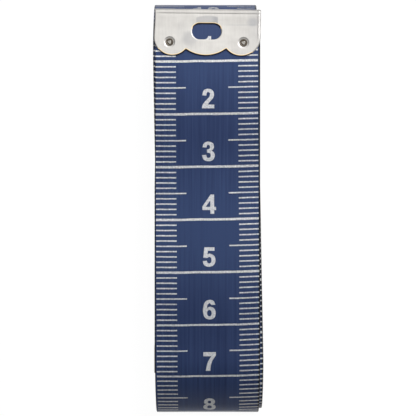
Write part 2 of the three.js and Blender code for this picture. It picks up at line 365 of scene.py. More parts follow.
class Nodes:
    """A node tree, and the one way in which this script adds a node to it."""

    def __init__(self, tree):
        self.tree = tree

    def add(self, kind, settings=None, sockets=None, out=0):
        node = self.tree.nodes.new(kind)
        for name, value in (settings or {}).items():
            setattr(node, name, value)
        for key, value in (sockets or {}).items():
            for part in value if isinstance(value, list) else [value]:
                if isinstance(part, Value):
                    self.tree.links.new(part.socket, node.inputs[key])
                else:
                    node.inputs[key].default_value = part
        return Value(self, node.outputs[out]) if node.outputs else None

    def vector(self, x=0.0, y=0.0, z=0.0):
        return self.add("ShaderNodeCombineXYZ", {}, {"X": x, "Y": y, "Z": z})

    def axes(self, vector):
        """The x, y and z of a vector."""
        x = self.add("ShaderNodeSeparateXYZ", {}, {"Vector": vector})
        return x, x.other("Y"), x.other("Z")

    def moved(self, vector, by):
        return self.add("ShaderNodeVectorMath", {"operation": "ADD"}, {0: vector, 1: by})

    def stored(self, geometry, name, value):
        """The geometry with a number kept at each of its points."""
        return self.add("GeometryNodeStoreNamedAttribute",
                        {"data_type": "FLOAT", "domain": "POINT"},
                        {"Geometry": geometry, "Name": name, "Value": value})

    def kept(self, name):
        """The number that a shader finds under that name."""
        return self.add("ShaderNodeAttribute", {"attribute_name": name}, {}, "Fac")

    def blend(self, factor, first, second):
        """A colour between two."""
        return self.add("ShaderNodeMix", {"data_type": "RGBA"},
                        {"Factor": factor, 6: first, 7: second}, 2)

    def noise(self, vector, scale, detail=2.0):
        return self.add("ShaderNodeTexNoise", {},
                        {"Vector": vector, "Scale": scale, "Detail": detail})

    def grain(self, x, y, fineness, layer=0.0, detail=2.0):
        """Noise with its own fineness in x and in y. Each layer differs."""
        return self.noise(self.vector(x * fineness[0], y * fineness[1], layer), 1.0, detail)

    def bump(self, strength, depth, height):
        """Fine relief for a shader, its depth in millimetres."""
        return self.add("ShaderNodeBump", {},
                        {"Strength": strength, "Distance": depth * MM, "Height": height})


# The winding

RUN_STEP = 1.5
FIRST_RUN_STEPS = 140
LIFT_PAST_TIP = 0.5


def bend_places(k, taper_steps=10, arc_steps=20):
    """The strip's middle line round bend k: sideways x, then y, z and the outward normal."""
    radius = OUTER_RADIUS - k * LAYER_PITCH / 2
    half = []
    for i in range(taper_steps + 1):
        share = i / taper_steps
        angle = math.atan2(2 * CORE_HALF_HEIGHT * share, CORE_TAPER)
        half.append((HALF_RUN + share * CORE_TAPER + radius * math.sin(angle),
                     CORE_HALF_HEIGHT * (1 - share * share) + radius * math.cos(angle), angle))
    for i in range(1, arc_steps // 2 + 1):
        angle = TAPER_ANGLE + (math.pi / 2 - TAPER_ANGLE) * i / (arc_steps // 2)
        half.append((CORE_TIP + radius * math.sin(angle), radius * math.cos(angle), angle))
    lower = k % 2 == 0
    end = -1 if lower else 1
    middle = 0 if lower else -LAYER_PITCH / 2
    x = 0
    if k > 0:
        side = 1 if lower else -LEFT_DRIFT_SHARE
        x = side * SIDEWAYS_DRIFT / (1 + DRIFT_FADE * max(k - 2, 0))
    around = [(x, end * along, middle + up, end * math.sin(angle), math.cos(angle))
              for along, up, angle in half]
    around += [(x, end * along, middle - up, end * math.sin(angle), -math.cos(angle))
               for along, up, angle in reversed(half[:-1])]
    return around if lower else around[::-1]


def straight(start, end, step):
    """Places on the way between two places, without the two."""
    count = max(1, round(math.dist(start[:3], end[:3]) / step))
    return [tuple(a + (b - a) * i / count for a, b in zip(start[:3], end[:3])) + end[3:]
            for i in range(1, count)]


def soft_step(x):
    x = min(max(x, 0), 1)
    return x * x * (3 - 2 * x)


def winding_places():
    """The whole strip's middle line from its zero end to its inner end, in the part's frame.

    The tip's back plate lifts the zero end, which comes down to its level before the second hinge.
    """
    places = []
    run = ZERO_EDGE + HALF_RUN
    for i in range(FIRST_RUN_STEPS):
        s = STRIP_END_INSET + (run - STRIP_END_INSET) * i / FIRST_RUN_STEPS
        settled = soft_step((s - TIP_LENGTH - LIFT_PAST_TIP) / (2 * SECTION - TIP_LENGTH))
        places.append((0, ZERO_EDGE - s, TOP_LEVEL + ZERO_LIFT * (1 - settled), 0, 1))
    places += bend_places(0, taper_steps=16, arc_steps=28)
    for k in range(1, BENDS):
        bend = bend_places(k)
        places += straight(places[-1], bend[0], RUN_STEP) + bend
    level = places[-1][2] - INNER_DROP
    flat = (INNER_SHIFT, HALF_RUN - INNER_SLOPE, level, 0, 1)
    last = (INNER_SHIFT, INNER_EDGE + STRIP_END_INSET, level, 0, 1)
    places += straight(places[-1], flat, RUN_STEP) + [flat]
    places += straight(flat, last, RUN_STEP) + [last]
    return [(x, y + CORE_MIDDLE, z + UNDERSIDE, ny, nz) for x, y, z, ny, nz in places]


def link(name, mesh):
    made = bpy.data.objects.new(name, mesh)
    bpy.context.collection.objects.link(made)
    return made


def winding_object(places):
    """The middle line as a chain of edges, with the outward direction and the distance along it."""
    mesh = bpy.data.meshes.new("winding")
    points = [Vector(p[:3]) * MM for p in places]
    mesh.from_pydata(points, [(i, i + 1) for i in range(len(points) - 1)], [])
    mesh.attributes.new("outward", "FLOAT_VECTOR", "POINT")
    mesh.attributes.new("along", "FLOAT", "POINT")
    outward = mesh.attributes["outward"]
    along = mesh.attributes["along"]
    s = STRIP_END_INSET * MM
    for i, place in enumerate(places):
        if i:
            s += (points[i] - points[i - 1]).length
        outward.data[i].vector = (0, place[3], place[4])
        along.data[i].value = s
    return link("winding", mesh), s


# Flat outlines, cut into triangles

def rounded(points, steps):
    """A closed loop through the points. A point with a third value is a corner."""
    loop = []
    count = len(points)
    for i in range(count):
        before, here, after, later = (points[(i + d) % count] for d in (-1, 0, 1, 2))
        p0, p1 = Vector(here[:2]), Vector(after[:2])
        if len(here) > 2 and len(after) > 2:
            loop.append(p0)
            continue
        lead = (p1 - p0) / 3 if len(here) > 2 else (p1 - Vector(before[:2])) / 6
        tail = (p1 - p0) / 3 if len(after) > 2 else (Vector(later[:2]) - p0) / 6
        loop += [v.to_2d() for v in
                 interpolate_bezier(p0.to_3d(), (p0 + lead).to_3d(), (p1 - tail).to_3d(),
                                    p1.to_3d(), steps + 1)[:-1]]
    return loop


def inside(point, loops):
    """True where a line from the point crosses the loops an odd number of times."""
    odd = False
    for loop in loops:
        for i, a in enumerate(loop):
            b = loop[i - 1]
            if (a.y > point.y) != (b.y > point.y):
                if point.x < (b.x - a.x) * (point.y - a.y) / (b.y - a.y) + a.x:
                    odd = not odd
    return odd


# Points nearer than this are one, and triangles smaller than this are none
MERGE_DISTANCE = 1e-5
LEAST_AREA = 5e-8
ROW_OVERHANG = 1


def triangulated(loops, points=(), rows=()):
    """Corners and triangles of the area inside the loops, with more points and level cuts."""
    corners = []
    edges = []
    for loop in loops:
        first = len(corners)
        corners += loop
        edges += [(first + i, first + (i + 1) % len(loop)) for i in range(len(loop))]
    corners += points
    left = min(p.x for p in corners) - ROW_OVERHANG
    right = max(p.x for p in corners) + ROW_OVERHANG
    for row in rows:
        edges.append((len(corners), len(corners) + 1))
        corners += [Vector((left, row)), Vector((right, row))]
    found, _, faces, *_ = delaunay_2d_cdt(corners, edges, [], 0, MERGE_DISTANCE)
    kept = []
    for face in faces:
        middle = sum((found[i] for i in face), Vector((0, 0))) / len(face)
        a, b, c = (found[i] for i in face[:3])
        if abs((b - a).cross(c - a)) > 2 * LEAST_AREA and inside(middle, loops):
            kept.append(face)
    return found, kept


def plate_mesh(name, corners, faces, height):
    """A closed flat plate from 0 to height, in metres."""
    mesh = bpy.data.meshes.new(name)
    work = bmesh.new()
    low = [work.verts.new((c.x * MM, c.y * MM, 0)) for c in corners]
    high = [work.verts.new((c.x * MM, c.y * MM, height * MM)) for c in corners]
    sides = {}
    for face in faces:
        work.faces.new([high[i] for i in face])
        work.faces.new([low[i] for i in reversed(face)])
        for i, a in enumerate(face):
            b = face[(i + 1) % len(face)]
            sides[(a, b)] = (b, a) not in sides
            if not sides[(a, b)]:
                sides[(b, a)] = False
    for (a, b), rim in sides.items():
        if rim:
            work.faces.new([low[a], low[b], high[b], high[a]])
    bmesh.ops.delete(work, geom=[v for v in work.verts if not v.link_faces], context="VERTS")
    work.to_mesh(mesh)
    work.free()
    return mesh


# Numerals as loops of points, 100 units high. A third value, C, marks a corner.
NUMERAL_UNITS = 100
NUMERAL_MIDDLE = 34
NUMERAL_SLICES = 7
CURVE_STEPS = 3
C = 1
SIX = [
    [(65, 76, C), (57, 94), (37, 101), (12, 90), (1, 50), (9, 11), (35, -1), (59, 8), (67, 32),
     (60, 55), (41, 65), (28, 62), (21, 55, C), (25, 76), (36, 84), (44, 74, C)],
    [(34, 49), (43, 44), (46, 32), (43, 20), (34, 15), (25, 20), (22, 32), (25, 44)],
]
NUMERALS = [
    [[(34, 101), (58, 88), (67, 50), (58, 12), (34, -1), (10, 12), (1, 50), (10, 88)],
     [(34, 84), (43, 74), (46, 50), (43, 26), (34, 16), (25, 26), (22, 50), (25, 74)]],
    [[(29, 0, C), (51, 0, C), (51, 100, C), (36, 100, C), (31, 90), (22, 84), (9, 82, C),
      (9, 66, C), (29, 66, C)]],
    [[(2, 0, C), (66, 0, C), (66, 19, C), (32, 19, C), (43, 34), (59, 52), (65, 72), (57, 93),
      (35, 101), (12, 93), (4, 67, C), (25, 65, C), (28, 80), (35, 84), (43, 80), (44, 70),
      (38, 56), (19, 36), (6, 18)]],
    [[(4, 72, C), (12, 93), (34, 101), (57, 93), (63, 75), (59, 62), (50, 54, C), (62, 45),
      (67, 28), (58, 7), (34, -1), (10, 7), (1, 30, C), (23, 32, C), (26, 20), (34, 16), (43, 20),
      (46, 30), (42, 41), (27, 44, C), (27, 60, C), (39, 63), (43, 73), (41, 81), (34, 84),
      (27, 81), (24, 70, C)]],
    [[(42, 0, C), (62, 0, C), (62, 20, C), (72, 20, C), (72, 36, C), (62, 36, C), (62, 100, C),
      (44, 100, C), (1, 38, C), (1, 20, C), (42, 20, C)],
     [(42, 36, C), (42, 70, C), (18, 36, C)]],
    [[(10, 100, C), (62, 100, C), (62, 82, C), (28, 82, C), (25, 63, C), (38, 67), (60, 56),
      (67, 33), (58, 8), (33, -1), (9, 7), (1, 28, C), (22, 31, C), (26, 20), (34, 16), (43, 20),
      (46, 33), (43, 46), (34, 50), (24, 44, C), (4, 46, C)]],
    SIX,
    [[(2, 100, C), (67, 100, C), (67, 83, C), (50, 57), (41, 30), (38, 0, C), (15, 0, C),
      (21, 33), (31, 58), (44, 78, C), (2, 78, C)]],
    [[(34, 101), (56, 94), (63, 75), (60, 63), (51, 54, C), (63, 45), (67, 28), (58, 7),
      (34, -1), (10, 7), (1, 28), (5, 45), (17, 54, C), (8, 63), (5, 75), (12, 94)],
     [(34, 84), (41, 81), (43, 73), (41, 65), (34, 62), (27, 65), (25, 73), (27, 81)],
     [(34, 46), (43, 42), (46, 30), (43, 19), (34, 16), (25, 19), (22, 30), (25, 42)]],
    [[(2 * NUMERAL_MIDDLE - x, NUMERAL_UNITS - y, *corner) for x, y, *corner in loop]
     for loop in SIX],
]


def numeral_collection():
    """The ten numerals as thin plates, centred across, standing on y = 0."""
    group = bpy.data.collections.new("numerals")
    bpy.context.scene.collection.children.link(group)
    scale = NUMBER_HEIGHT / NUMERAL_UNITS
    rows = [NUMBER_HEIGHT * i / NUMERAL_SLICES for i in range(1, NUMERAL_SLICES)]
    for digit, outlines in enumerate(NUMERALS):
        loops = [[(p - Vector((NUMERAL_MIDDLE, 0))) * scale for p in rounded(outline, CURVE_STEPS)]
                 for outline in outlines]
        corners, faces = triangulated(loops, rows=rows)
        mesh = plate_mesh(f"numeral_{digit}", corners, faces, INK_HEIGHT + INK_SINK)
        group.objects.link(bpy.data.objects.new(f"numeral_{digit}", mesh))
    return group


# Geometry trees

# The marks and the numbers are set out flat, with the zero edge on y = 0 and the strip's inner end
# towards -Y, and are then laid on the winding.

def new_tree(name, inputs):
    """A geometry tree with the given named inputs, and its wrapped input sockets."""
    tree = bpy.data.node_groups.new(name, "GeometryNodeTree")
    tree.interface.new_socket(name="Geometry", in_out="OUTPUT", socket_type="NodeSocketGeometry")
    for label, (kind, _) in inputs.items():
        tree.interface.new_socket(name=label, in_out="INPUT", socket_type="NodeSocket" + kind)
    nodes = Nodes(tree)
    given = nodes.add("NodeGroupInput")
    return nodes, {label: given.other(label) for label in inputs}


def end_tree(nodes, geometry, material):
    """Every tree ends in real geometry with its material."""
    real = nodes.add("GeometryNodeRealizeInstances", {}, {"Geometry": geometry})
    done = nodes.add("GeometryNodeSetMaterial", {}, {"Geometry": real, "Material": material})
    nodes.add("NodeGroupOutput", {}, {"Geometry": done})
    return nodes.tree


def winding_curve(nodes, winding):
    chain = nodes.add("GeometryNodeObjectInfo", {}, {"Object": winding}, "Geometry")
    return nodes.add("GeometryNodeMeshToCurve", {}, {"Mesh": chain})


def laid_on_winding(nodes, geometry, winding, thickness):
    """Moves flat geometry onto the strip's outer face and keeps its place on the strip.

    As in the photo, the print is off to the right about 7 cm from zero, and from there on it is
    a little nearer to zero.
    """
    geometry = nodes.add("GeometryNodeRealizeInstances", {}, {"Geometry": geometry})
    across, back, height = nodes.axes(nodes.add("GeometryNodeInputPosition"))
    along = 0 - back
    geometry = nodes.stored(geometry, "across", across)
    geometry = nodes.stored(geometry, "along", along)
    outward = nodes.add("GeometryNodeInputNamedAttribute", {"data_type": "FLOAT_VECTOR"},
                        {"Name": "outward"})
    creep = along.ramp(*CREEP_STRETCH, MM) * (PRINT_CREEP * MM)
    drift = along.band(DRIFT_BAND, MM) * (PRINT_DRIFT * MM)
    spot = nodes.add("GeometryNodeSampleCurve", {"mode": "LENGTH", "data_type": "FLOAT_VECTOR"},
                     {"Curves": winding_curve(nodes, winding), "Value": outward,
                      "Length": along - creep - STRIP_END_INSET * MM})
    rise = nodes.add("ShaderNodeVectorMath", {"operation": "SCALE"},
                     {0: spot, "Scale": height + thickness / 2 - INK_SINK * MM})
    middle = nodes.moved(spot.other("Position"), nodes.vector(x=across + drift))
    return nodes.add("GeometryNodeSetPosition", {},
                     {"Geometry": geometry, "Position": nodes.moved(middle, rise)})


SHARP_CLOTH_EDGE = math.radians(30)
STRIP_INPUTS = {
    "Winding": ("Object", None),
    "From": ("Float", 0),
    "To": ("Float", 0),
    "Width": ("Float", CLOTH_WIDTH * MM),
    "Thickness": ("Float", STRIP_THICKNESS * MM),
    "Edge bevel": ("Float", EDGE_BEVEL * MM),
    "Cloth": ("Material", None),
}


def strip_tree():
    """The strip between two distances from the zero edge."""
    nodes, given = new_tree("cloth strip", STRIP_INPUTS)
    inset = STRIP_END_INSET * MM
    stretch = nodes.add("GeometryNodeTrimCurve", {"mode": "LENGTH"},
                        {0: winding_curve(nodes, given["Winding"]),
                         4: given["From"] - inset, 5: given["To"] - inset})
    stretch = nodes.add("GeometryNodeSetCurveNormal", {"mode": "FREE"},
                        {"Curve": stretch, "Normal": (1, 0, 0)})
    section = nodes.add("GeometryNodeCurvePrimitiveQuadrilateral", {},
                        {"Width": given["Width"], "Height": given["Thickness"]})
    section = nodes.add("GeometryNodeFilletCurve", {"mode": "POLY"},
                        {"Curve": section, "Count": 1, "Radius": given["Edge bevel"]})
    x, *_ = nodes.axes(nodes.add("GeometryNodeInputPosition"))
    section = nodes.stored(section, "across", x)
    cloth = nodes.add("GeometryNodeCurveToMesh", {},
                      {"Curve": stretch, "Profile Curve": section, "Fill Caps": True})
    slant = nodes.add("GeometryNodeInputMeshEdgeAngle")
    cloth = nodes.add("GeometryNodeSetShadeSmooth", {"domain": "FACE"}, {"Geometry": cloth})
    cloth = nodes.add("GeometryNodeSetShadeSmooth", {"domain": "EDGE"},
                      {"Geometry": cloth, "Selection": slant > SHARP_CLOTH_EDGE,
                       "Shade Smooth": False})
    return end_tree(nodes, cloth, given["Cloth"])


def scale_points(nodes, given, count, step, rise):
    """A row of points along the strip, each with its number from 1, between From and To.

    The first one is one step from the zero edge, less the print's shift and the rise. The number
    and the distance along the strip come back with them.
    """
    points = nodes.add("GeometryNodeMeshLine", {},
                       {"Count": count, "Offset": nodes.vector(y=0 - step),
                        "Start Location": nodes.vector(y=given["Print shift"] + rise - step)})
    points = nodes.stored(points, "number", nodes.add("GeometryNodeInputIndex") + 1)
    _, back, _ = nodes.axes(nodes.add("GeometryNodeInputPosition"))
    along = 0 - back
    outside = (along < given["From"]) + (along > given["To"])
    points = nodes.add("GeometryNodeDeleteGeometry", {"domain": "POINT"},
                       {"Geometry": points, "Selection": outside})
    number = nodes.add("GeometryNodeInputNamedAttribute", {"data_type": "FLOAT"},
                       {"Name": "number"})
    return points, number, along


TICK_POINTS = 5
LINE_POINTS = 25
MARK_INPUTS = {
    "Winding": ("Object", None),
    "From": ("Float", 0),
    "To": ("Float", 0),
    "Pitch": ("Float", MM),
    "Print shift": ("Float", PRINT_SHIFT * MM),
    "Width": ("Float", CLOTH_WIDTH * MM),
    "Thickness": ("Float", STRIP_THICKNESS * MM),
    "Left edge gap": ("Float", LEFT_EDGE_GAP * MM),
    "Right edge gap": ("Float", RIGHT_EDGE_GAP * MM),
    "Short tick": ("Float", SHORT_TICK * MM),
    "Middle tick": ("Float", MIDDLE_TICK * MM),
    "Right tick loss": ("Float", RIGHT_TICK_LOSS * MM),
    "Tick width": ("Float", TICK_WIDTH * MM),
    "Bold width": ("Float", BOLD_WIDTH * MM),
    "Ink height": ("Float", (INK_HEIGHT + INK_SINK) * MM),
    "Raggedness": ("Float", RAGGEDNESS * MM),
    "Wander": ("Float", WANDER * MM),
    "Ink": ("Material", None),
}


def mark_tree():
    """The scale's marks: a tick at each side per millimetre, longer for five, a line for ten.

    As in the photo, the marks come nearer to the right edge further on, the bold lines are
    thinner for a while, the right half is printed a little nearer to zero and slopes, and the
    ink's edges are ragged.
    """
    nodes, given = new_tree("scale marks", MARK_INPUTS)
    points, number, along = scale_points(nodes, given, STRIP_LENGTH, given["Pitch"], 0)
    bold = number % 10 < 0.5
    length = given["Short tick"] + (given["Middle tick"] - given["Short tick"]) * (number % 5 < 0.5)
    shorter = length - given["Right tick loss"]
    nearer = along.ramp(*EDGE_GAP_STRETCH, MM) * EDGE_GAP_LOSS
    thinner = along.band(THINNING_BAND, MM) * LINE_THINNING
    left = given["Left edge gap"] - given["Width"] / 2
    right = given["Width"] / 2 - given["Right edge gap"] * (1 - nearer)

    def bars(chosen, count, reach, width, middle):
        """A flat bar across the strip at each chosen point, with a count of points across it."""
        bar = nodes.add("GeometryNodeMeshCube", {}, {"Size": (1, 1, 1), "Vertices X": count})
        placed = nodes.add("GeometryNodeInstanceOnPoints", {},
                           {"Points": points, "Selection": chosen, "Instance": bar,
                            "Scale": nodes.vector(reach, width, given["Ink height"])})
        return nodes.add("GeometryNodeTranslateInstances", {},
                         {"Instances": placed, "Local Space": False,
                          "Translation": nodes.vector(x=middle, z=given["Ink height"] / 2)})

    marks = nodes.add("GeometryNodeJoinGeometry", {}, {"Geometry": [
        bars(1 - bold, TICK_POINTS, length, given["Tick width"], left + length / 2),
        bars(1 - bold, TICK_POINTS, shorter, given["Tick width"], right - shorter / 2),
        bars(bold, LINE_POINTS, right - left, given["Bold width"] * (1 - thinner),
             (left + right) / 2),
    ]})
    marks = nodes.add("GeometryNodeRealizeInstances", {}, {"Geometry": marks})
    flat = nodes.add("GeometryNodeInputPosition")
    x, *_ = nodes.axes(flat)
    lead = x.ramp(*LEAD_STRETCH, MM) * (RIGHT_HALF_LEAD * MM)
    lead += (x - LINE_SLOPE_FROM * MM).math("MAXIMUM", 0) * LINE_SLOPE
    sloping = along.ramp(*END_SLOPE_STRETCH, MM) * END_SLOPE
    lead += (x - END_SLOPE_FROM * MM).math("MAXIMUM", 0) * sloping
    frayed = (nodes.noise(flat, RAG_GRAIN) - 0.5) * given["Raggedness"]
    wander = (nodes.noise(flat, WANDER_GRAIN) - 0.5) * given["Wander"]
    marks = nodes.add("GeometryNodeSetPosition", {},
                      {"Geometry": marks, "Offset": nodes.vector(x=wander, y=lead + frayed)})
    marks = laid_on_winding(nodes, marks, given["Winding"], given["Thickness"])
    return end_tree(nodes, marks, given["Ink"])


# Keeps a whole number from being rounded down to the one before
ROUNDING_GUARD = 0.01
NUMBER_INPUTS = {
    "Winding": ("Object", None),
    "Numerals": ("Collection", None),
    "From": ("Float", 0),
    "To": ("Float", 0),
    "Print shift": ("Float", PRINT_SHIFT * MM),
    "Thickness": ("Float", STRIP_THICKNESS * MM),
    "Rise": ("Float", NUMBER_RISE * MM),
    "Numeral pitch": ("Float", NUMBER_PITCH * MM),
    "Sideways": ("Float", NUMBER_SHIFT * MM),
    "Ink": ("Material", None),
}


def number_tree():
    """A number over each centimetre line, from 1 to 149, set from single numerals."""
    nodes, given = new_tree("scale numbers", NUMBER_INPUTS)
    points, number, _ = scale_points(nodes, given, STRIP_LENGTH // 10 - 1, 10 * MM, given["Rise"])
    numerals = nodes.add("GeometryNodeCollectionInfo", {},
                         {"Collection": given["Numerals"], "Separate Children": True})
    extra_digits = (number > 9.5) + (number > 99.5)
    parts = []
    for place, least in enumerate((0.5, 9.5, 99.5)):
        digit = ((number + ROUNDING_GUARD) / 10 ** place).floor() % 10
        glyphs = nodes.add("GeometryNodeInstanceOnPoints", {},
                           {"Points": points, "Selection": number > least, "Instance": numerals,
                            "Pick Instance": True, "Instance Index": digit})
        sideways = (extra_digits / 2 - place) * given["Numeral pitch"] + given["Sideways"]
        parts.append(nodes.add("GeometryNodeTranslateInstances", {},
                               {"Instances": glyphs, "Local Space": False,
                                "Translation": nodes.vector(x=sideways)}))
    numbers = nodes.add("GeometryNodeJoinGeometry", {}, {"Geometry": parts})
    numbers = laid_on_winding(nodes, numbers, given["Winding"], given["Thickness"])
    return end_tree(nodes, numbers, given["Ink"])


def grown(name, tree, inputs, **values):
    """Runs a tree once with its named inputs and keeps the result as a plain mesh object."""
    host = link(name + "_host", bpy.data.meshes.new(name + "_host"))
    modifier = host.modifiers.new("tree", "NODES")
    modifier.node_group = tree
    filled = {label: value for label, (_, value) in inputs.items()}
    filled.update({label.replace("_", " "): value for label, value in values.items()})
    for item in tree.interface.items_tree:
        if item.item_type == "SOCKET" and item.in_out == "INPUT":
            modifier[item.identifier] = filled[item.name]
    depsgraph = bpy.context.evaluated_depsgraph_get()
    mesh = bpy.data.meshes.new_from_object(
        host.evaluated_get(depsgraph), preserve_all_data_layers=True, depsgraph=depsgraph)
    mesh.name = name
    bpy.data.objects.remove(host)
    return link(name, mesh)


# Materials

DARK_NAVY = (0.0105, 0.0220, 0.072, 1)
LIGHT_NAVY = (0.0280, 0.0500, 0.129, 1)
PAINTED_LIGHT_NAVY = (0.0345, 0.0540, 0.129, 1)
EDGE_SHADE_BLACK = (0.005, 0.007, 0.014, 1)
THIN_MARK_SILVER = (0.30, 0.305, 0.32, 1)
FULL_MARK_SILVER = (0.76, 0.76, 0.75, 1)
THIN_NUMBER_SILVER = (0.36, 0.37, 0.39, 1)
FULL_NUMBER_SILVER = (0.68, 0.69, 0.70, 1)
INK_IN_PAINTED_SHADE = (0.05, 0.06, 0.09, 1)
DULL_NICKEL = (0.505, 0.488, 0.465, 1)
BRIGHT_NICKEL = (0.71, 0.692, 0.657, 1)
# Painted shade: the inner end's plate is drawn in these dark metal colours.
DARK_PAINTED_SHADE_METAL = (0.045, 0.034, 0.026, 1)
LIGHT_PAINTED_SHADE_METAL = (0.13, 0.10, 0.075, 1)
STAIN_AND_PAINTED_LIGHT_GREY = (0.375, 0.373, 0.38, 1)
CUT_BRASS = (0.92, 0.74, 0.48, 1)
CUT_SHADOW = (0.02, 0.015, 0.01, 1)
DIMPLE_BRASS = (0.08, 0.065, 0.05, 1)
DULL_BRASS = (0.24, 0.20, 0.155, 1)
RUBBED_BRASS = (0.44, 0.42, 0.385, 1)


def new_material(name):
    made = bpy.data.materials.new(name)
    made.use_nodes = True
    made.node_tree.nodes.clear()
    return made, Nodes(made.node_tree)


def surface(nodes, sockets):
    shader = nodes.add("ShaderNodeBsdfPrincipled", {}, sockets)
    nodes.add("ShaderNodeOutputMaterial", {}, {"Surface": shader})


def strip_place(nodes):
    """Millimetres across and along the strip, and its painted light: a painted sheen that swells
    from light to dark along it, less a painted shade where it bends.
    """
    across = nodes.kept("across") * MM_PER_METRE
    along = nodes.kept("along") * MM_PER_METRE
    painted_light = ((along - PAINTED_SHEEN_CREST) * (2 * math.pi / PAINTED_SHEEN_LENGTH)).math("COSINE") * PAINTED_SHEEN_DEPTH
    return across, along, painted_light - along.band(FOLD_SHADE_BAND) * FOLD_SHADE


def coated_cloth():
    """Navy coating over a fine weave: warp ribs along the strip, weaker weft, and drawn streaks,
    with a painted sheen, painted shade at a bend and along its edges, and painted light under the
    tip.
    """
    made, nodes = new_material("coated_cloth")
    across, along, painted_light = strip_place(nodes)
    streaks = nodes.grain(across, along, (2.2, 0.02), detail=3.0)
    fine = nodes.grain(across, along, (9, 0.15), layer=5.0)
    cloudy = nodes.grain(across, along, (0.12, 0.06), layer=9.0, detail=1.0)
    # The tone holds random streaks and clouds, and also the painted sheen and shade.
    tone_and_painted_light = streaks * 1.4 + fine * 0.6 + cloudy * 0.5 - 0.58 + painted_light
    warp = (across * (2 * math.pi / WARP_PITCH)).math("SINE")
    weft = (along * (2 * math.pi / WEFT_PITCH)).math("SINE")
    relief = warp * 0.5 + weft * 0.3 * warp + (fine - 0.5) * 1.4 + (streaks - 0.5) * 1.2
    # Painted shade: the cloth's outermost edges are drawn nearly black.
    painted_edge_shade = across.ramp(*RIGHT_EDGE_SHADE) + (0 - across).ramp(*LEFT_EDGE_SHADE)
    # Painted light: the cloth under the zero-end tip is drawn lighter, against the tip's shadow.
    painted_light_under_tip = (1 - along.ramp(*PAINTED_LIGHT_UNDER_TIP_STRETCH)) * PAINTED_LIGHT_UNDER_TIP_SHARE
    colour = nodes.blend(painted_light_under_tip, nodes.blend(tone_and_painted_light, DARK_NAVY, LIGHT_NAVY), PAINTED_LIGHT_NAVY)
    surface(nodes, {
        "Base Color": nodes.blend(painted_edge_shade, colour, EDGE_SHADE_BLACK),
        "Roughness": 0.36 + streaks * 0.16 + fine * 0.08,
        "Specular IOR Level": 0.24,
        "Normal": nodes.bump(0.35, 0.03, relief),
    })
    return made


def silver_ink(name, thin, full):
    """Silver-grey printing ink, thin at places, with the weave's streaks in it, half of the cloth's
    painted sheen and shade, and painted shade along part of the second layer's bend.
    """
    made, nodes = new_material(name)
    across, along, painted_light = strip_place(nodes)
    mottle = nodes.grain(across, along, (3.6, 3.6), detail=3.0)
    streaks = nodes.grain(across, along, (7, 0.6), layer=3.0)
    # The ink's tone carries half of the cloth's painted sheen and shade.
    tone_and_painted_light = (mottle * 2.2 + streaks - 1.1 + painted_light * 0.5).math("MINIMUM", 1).math("MAXIMUM", 0)
    # Painted shade: the ink is darkened along part of the second layer's bend.
    painted_ink_shade = along.band(INK_SHADE_BAND) * INK_SHADE_SHARE
    surface(nodes, {
        "Base Color": nodes.blend(painted_ink_shade, nodes.blend(tone_and_painted_light, thin, full), INK_IN_PAINTED_SHADE),
        "Roughness": 0.45 + mottle * 0.2,
        "Specular IOR Level": 0.4,
        "Normal": nodes.bump(0.3, 0.02, mottle + streaks),
    })
    return made


def plated_metal(name, dull, bright):
    """Metal plating with faint rubbed streaks and duller patches, and brass at its cut edges, with
    painted shade towards its fold and right side, a painted reflection over the slot, painted shade
    in a corner, and a painted black shadow line at its very edges.
    """
    made, nodes = new_material(name)
    x, y, _ = nodes.axes(nodes.add("ShaderNodeTexCoord", {}, {}, "Object"))
    x, y = x * MM_PER_METRE, y * MM_PER_METRE
    streaks = nodes.grain(x, y, (3.2, 0.35), detail=3.0)
    patches = nodes.grain(x, y, (0.35, 0.6), layer=2.0)
    cut = nodes.kept("cut")
    worn = cut.ramp(0.1, 0.35)
    # Painted shadow: the outermost edge of the scallops and of the slot's upper side is drawn black.
    rim = cut.ramp(0.5, 0.7)
    # Painted reflection: a grey arch drawn over the slot.
    painted_reflection_arch = x.band(REFLECTION_ARCH_SIDES) * y.ramp(*REFLECTION_ARCH_FOOT)
    painted_reflection_arch *= 1 - (y + x * x * REFLECTION_ARCH_BOW).ramp(*REFLECTION_ARCH_TOP)
    painted_reflection_arch *= REFLECTION_ARCH_LEFT_SHARE + x.ramp(*REFLECTION_ARCH_FULL_STRETCH) * (1 - REFLECTION_ARCH_LEFT_SHARE)
    # The painted reflection and the painted shaded corner are drawn grey together with the real
    # stains.
    stains_and_painted_light = painted_reflection_arch + x.ramp(*CORNER_SHADE_X) * y.ramp(*CORNER_SHADE_Y) * CORNER_SHADE
    for (middle_x, middle_y), (reach_x, reach_y), strength in STAINS:
        off_x, off_y = (x - middle_x) / reach_x, (y - middle_y) / reach_y
        stains_and_painted_light += (1 - (off_x * off_x + off_y * off_y).ramp(0, 1)) * strength
    # Painted shade: the plate is drawn darker towards its fold and its right side, on top of a
    # darkening all over.
    dimmed_and_shaded = (y.ramp(*PAINTED_SHADE_TOP_STRETCH) + x.ramp(*PAINTED_SHADE_RIGHT_STRETCH) + 1) * DIMMING_AND_PAINTED_SHADE
    plate = nodes.blend(streaks * 0.5 + patches - dimmed_and_shaded, dull, bright)
    plate = nodes.blend(stains_and_painted_light, plate, STAIN_AND_PAINTED_LIGHT_GREY)
    surface(nodes, {
        "Base Color": nodes.blend(rim, nodes.blend(worn, plate, CUT_BRASS), CUT_SHADOW),
        "Metallic": 1.0,
        "Roughness": 0.24 + patches * 0.14 + worn * 0.1,
        "Normal": nodes.bump(0.15, 0.02, streaks + patches * 2),
    })
    return made


